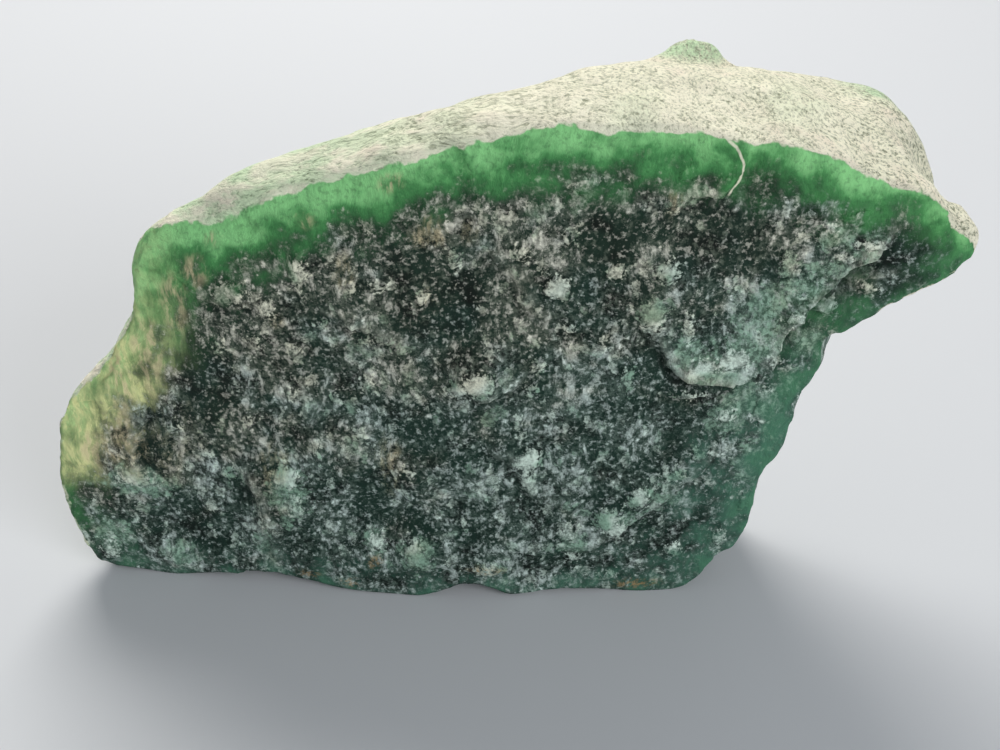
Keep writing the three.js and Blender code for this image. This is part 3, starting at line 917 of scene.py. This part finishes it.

    # the rim's painted glow lies over all of it, and lets the grains through where it fades
    clear = tree.mix(tree.rise(glow, 0.5, 1.05), given["Green rim"], given["Bright rim"])
    clear = tree.mix(tree.rise(grainy, 0.3, 0.75, 0.0, 0.55), clear, given["Bright rim"])
    clear = tree.mix(tree.rise(clot, 0.55, 0.3, 0.0, 0.18), clear, given["Deep rim"])
    clear = tree.mix(tree.rise(mottle, 0.5, 0.3, 0.0, 0.34), clear, given["Deep rim"])
    clear = tree.mix(tree.slope(glow, 0.05, 0.65), given["Deep rim"], clear)
    # the painted glow turns teal towards the lower right
    clear = tree.mix(tree.rise(given["Lean"], 0.5, 0.05, 0.0, 0.7), clear, given["Teal rim"])
    clear = tree.mix(tree.times(tan, tree.rise(fringe, 0.35, 0.6, 0.45, 0.95)), clear, given["Warm rim"])
    flushed = tree.times(given["Blush field"], tree.rise(fringe, 0.42, 0.6, 0.05, 0.65))
    clear = tree.mix(flushed, clear, given["Blush"])
    clear = tree.mix(tree.times(given["Deep"], 0.5), clear, given["Deep body"])
    glow_cover = tree.slope(tree.add_up(glow, tree.times(grainy, -0.8)), -0.5, 0.2)
    tone = tree.mix(glow_cover, tone, clear)
    tone = tree.mix(tree.times(given["Ochre field"], tree.rise(mottle, 0.4, 0.7)), tone, given["Ochre"])

    # kept to few patterns, because the bump reads it three times
    height = tree.add_up(tree.rise(plate, -0.2, 0.4, 0.0, 0.12), tree.times(clot, 0.5))
    tree.feed(result["Color"], tone)
    tree.feed(result["Roughness"], tree.rise(mottle, 0.35, 0.65, 0.45, 0.65))
    tree.feed(result["Height"], height)
    return tree.tree


def rind_group():
    """Weathered rind: cream with pits and fine streaks along the stone, greener where it is thin."""
    tree, given, result = finish_group("Weathered rind", RIND_FIELDS, RIND_COLOURS)
    place = given["Place"]

    # the streaks are longest at the left end and nearly round grains at the right
    along = tree.add("ShaderNodeSeparateXYZ", "X", Vector=place)
    stretch = tree.add("ShaderNodeCombineXYZ", X=tree.rise(along, -10.0, 45.0, 0.36, 0.85), Y=1.0, Z=1.0)
    streaked = tree.vector_math("MULTIPLY", given["Fabric"], stretch)
    fine = tree.cells(streaked, 0.3)
    coarse = tree.noise(streaked, 0.55, detail=3.0, roughness=0.7)
    patch = tree.noise(streaked, 3.0, detail=3.0, roughness=0.6)

    # how sound each point is, with a painted highlight beside the front's outline and painted light towards
    # the left end: the rest is pitted, with the strongest contrast at the far right
    patchy = tree.rise(along, -50.0, 5.0, 0.14, 0.1)
    # a painted highlight: the rind is paler right beside the front's outline
    edge_highlight = tree.rise(given["Inset"], -1.3, -0.2)
    far_right = tree.rise(along, 36.0, 60.0, 0.0, 0.45)
    bright = tree.add_up(
        tree.times(fine, 0.34),
        tree.slope(coarse, 0.25, 0.75, 0.0, 0.66),
        tree.times(patchy, tree.slope(patch, 0.3, 0.7, -1.0, 1.0)),
        tree.times(edge_highlight, 0.1),
        # paler towards the left end: painted light
        tree.rise(along, 0.0, -40.0, 0.0, 0.14),
        tree.times(given["Green"], -0.1),
        tree.times(far_right, tree.slope(coarse, 0.25, 0.75, -0.5, 0.45)),
    )
    pit = tree.slope(bright, 0.56, 0.12)

    # cream with faint pink, and green where it is thin or covers the knob
    warm = tree.rise(tree.noise(place, 5.0), 0.5, 0.75)
    green = tree.times(given["Green"], tree.rise(tree.add_up(coarse, patch), 0.8, 1.15, 0.25, 1.0))
    tone = tree.mix(tree.times(warm, 0.35), given["Rind"], given["Pink rind"])
    thin = tree.times(tree.rise(patch, 0.65, 0.4), tree.rise(along, 10.0, -40.0, 0.1, 0.95))
    tone = tree.mix(thin, tone, given["Green rind"])
    tone = tree.mix(green, tone, given["Green rind"])
    mossy = tree.math("MAXIMUM", green, tree.rise(along, 0.0, -40.0, 0.0, 0.6))
    dark = tree.mix(mossy, given["Pit"], given["Dark green rind"])
    tone = tree.mix(tree.times(pit, tree.rise(green, 0.0, 1.0, 0.9, 0.6)), tone, dark)
    height = tree.add_up(tree.times(bright, 0.3), tree.times(patch, 0.5), -0.17)
    tree.feed(result["Color"], tone)
    tree.feed(result["Roughness"], tree.rise(pit, 0.0, 1.0, 0.72, 0.9))
    tree.feed(result["Height"], height)
    return tree.tree


def stone_material(finish):
    """Aventurine: the fresh fracture and the weathered rind, parted along the stone's sharp outline."""
    material = bpy.data.materials.new("aventurine")
    material.use_nodes = True
    tree = Tree(material.node_tree)
    shader = material.node_tree.nodes["Principled BSDF"]
    shader.inputs["IOR"].default_value = 1.54
    shader.inputs["Specular IOR Level"].default_value = 0.12

    place = tree.scaled(tree.add("ShaderNodeTexCoord", "Object"), 1 / MM)
    # grains and streaks follow a slightly bent fabric
    fabric = tree.bent(place, tree.noise(place, 8.0, detail=1.0, output="Color"), 3.5)
    fracture = place_group(
        tree, fracture_group(), finish, FRACTURE_FIELDS, FRACTURE_COLOURS, Place=place, Fabric=fabric
    )
    rind = place_group(
        tree, rind_group(), finish, RIND_FIELDS, RIND_COLOURS, Place=place, Fabric=fabric
    )

    # the rind covers what is outside the front's outline and above its own ragged border
    nibble = tree.noise(place, 2.6, detail=3.0)
    wander = tree.noise(place, 2.2, detail=4.0, roughness=0.65)
    edge = tree.add_up(tree.field("inset"), tree.slope(nibble, 0.25, 0.75, -0.7, 0.7))
    border = tree.add_up(tree.field("rind"), tree.rise(wander, 0.2, 0.8, -3.0, 3.0))
    weathered = tree.times(tree.rise(edge, 0.1, -0.3), tree.rise(border, -0.25, 0.25))
    vein = tree.times(
        tree.rise(tree.math("ABSOLUTE", tree.field("vein")), 0.28, 0.08),
        tree.rise(tree.field("vein end"), 0.0, 0.6),
    )

    tone = tree.mix(weathered, fracture.outputs["Color"], rind.outputs["Color"])
    tone = tree.mix(tree.times(vein, 0.75), tone, finish.rind)
    roughness = tree.between(weathered, fracture.outputs["Roughness"], rind.outputs["Roughness"])
    height = tree.between(weathered, fracture.outputs["Height"], rind.outputs["Height"])
    bump = tree.add("ShaderNodeBump", Height=height, Strength=1.0, Distance=MM)
    tree.feed(shader.inputs["Base Color"], tone)
    tree.feed(shader.inputs["Roughness"], roughness)
    tree.feed(shader.inputs["Normal"], bump)
    return material


class BOULDER_OT_stone(bpy.types.Operator):
    """Break and weather the boulder round its solid block"""

    bl_idname = "boulder.stone"
    bl_label = "Aventurine boulder"

    def execute(self, context):
        shape = context.scene.boulder_shape
        finish = context.scene.boulder_finish
        piece = copy_of_block()
        mark_front(piece, shape.edge_crease)
        divide(piece, shape.divisions)
        sculpt(piece, shape)
        for face in piece.data.polygons:
            face.material_index = 0
        piece.data.materials.append(stone_material(finish))
        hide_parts(NODE)
        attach(piece, BODY)
        return {"FINISHED"}


# ---------------------------------------------------------------- the stage

def plain_material(name, tone, roughness):
    """A plain matt finish for the stage."""
    material = bpy.data.materials.new(name)
    material.use_nodes = True
    shader = material.node_tree.nodes["Principled BSDF"]
    shader.inputs["Base Color"].default_value = tone
    shader.inputs["Roughness"].default_value = roughness
    shader.inputs["Specular IOR Level"].default_value = 0.2
    return material


def soft_light(name, place, size, power, tone):
    """A large light at a place in metres, which faces the middle of the stone."""
    target = Vector((0.0, 0.0, 0.04))
    data = bpy.data.lights.new(name, "AREA")
    data.shape = "RECTANGLE"
    data.size, data.size_y = size
    data.energy = power
    data.color = tone
    light = bpy.data.objects.new(name, data)
    light.location = place
    light.rotation_euler = (target - Vector(place)).to_track_quat("-Z", "Y").to_euler()
    bpy.context.scene.collection.objects.link(light)


class BOULDER_OT_stage(bpy.types.Operator):
    """Lay the floor, hang the lights and place the camera"""

    bl_idname = "boulder.stage"
    bl_label = "Studio stage"

    def execute(self, context):
        stage = context.scene.boulder_stage
        bpy.ops.object.select_all(action="DESELECT")
        bpy.ops.mesh.primitive_plane_add(size=stage.floor_size)
        floor = context.active_object
        floor.name = "floor"
        floor.data.materials.append(plain_material("floor", tuple(stage.floor_tone), 0.9))

        sunny = (1.0, 0.975, 0.93)
        shady = (0.97, 0.985, 1.0)
        soft_light("key", (-0.10, 0.42, 0.62), (0.45, 0.3), stage.key_power, sunny)
        soft_light("fill", (0.45, -0.55, 0.38), (0.5, 0.4), stage.fill_power, shady)
        soft_light("rear", (0.1, 0.8, 0.25), (0.7, 0.4), stage.rear_power, shady)

        world = bpy.data.worlds.new("studio")
        world.use_nodes = True
        sky = world.node_tree.nodes["Background"]
        sky.inputs["Color"].default_value = tuple(stage.sky_tone)
        sky.inputs["Strength"].default_value = stage.sky_strength
        context.scene.world = world
        context.scene.view_settings.view_transform = "Standard"

        data = bpy.data.cameras.new("camera")
        data.lens = stage.lens
        data.sensor_width = 36.0
        data.clip_start = 0.005
        camera = bpy.data.objects.new("camera", data)
        camera.location = tuple(stage.camera_place)
        camera.rotation_euler = (math.pi / 2 - stage.look_down, 0.0, 0.0)
        context.scene.collection.objects.link(camera)
        context.scene.camera = camera
        return {"FINISHED"}


class BOULDER_PT_panel(bpy.types.Panel):
    """Lists the boulder's steps and what can be changed"""

    bl_label = "Aventurine boulder"
    bl_idname = "BOULDER_PT_panel"
    bl_space_type = "VIEW_3D"
    bl_region_type = "UI"
    bl_category = "Boulder"

    def draw(self, context):
        column = self.layout.column(align=True)
        for operator in (BOULDER_OT_stage, BOULDER_OT_stone):
            column.operator(operator.bl_idname)
        scene = context.scene
        for settings in (scene.boulder_shape, scene.boulder_finish, scene.boulder_stage):
            box = self.layout.box()
            for name in settings.__annotations__:
                box.prop(settings, name)


CLASSES = (StoneShape, StoneFinish, Stage, BOULDER_OT_stone, BOULDER_OT_stage, BOULDER_PT_panel)


def register():
    for cls in CLASSES:
        bpy.utils.register_class(cls)
    bpy.types.Scene.boulder_shape = bpy.props.PointerProperty(type=StoneShape)
    bpy.types.Scene.boulder_finish = bpy.props.PointerProperty(type=StoneFinish)
    bpy.types.Scene.boulder_stage = bpy.props.PointerProperty(type=Stage)


def unregister():
    del bpy.types.Scene.boulder_stage
    del bpy.types.Scene.boulder_finish
    del bpy.types.Scene.boulder_shape
    for cls in reversed(CLASSES):
        bpy.utils.unregister_class(cls)


def main():
    register()
    bpy.ops.boulder.stage()
    bpy.ops.boulder.stone()


if __name__ == "__main__":
    main()
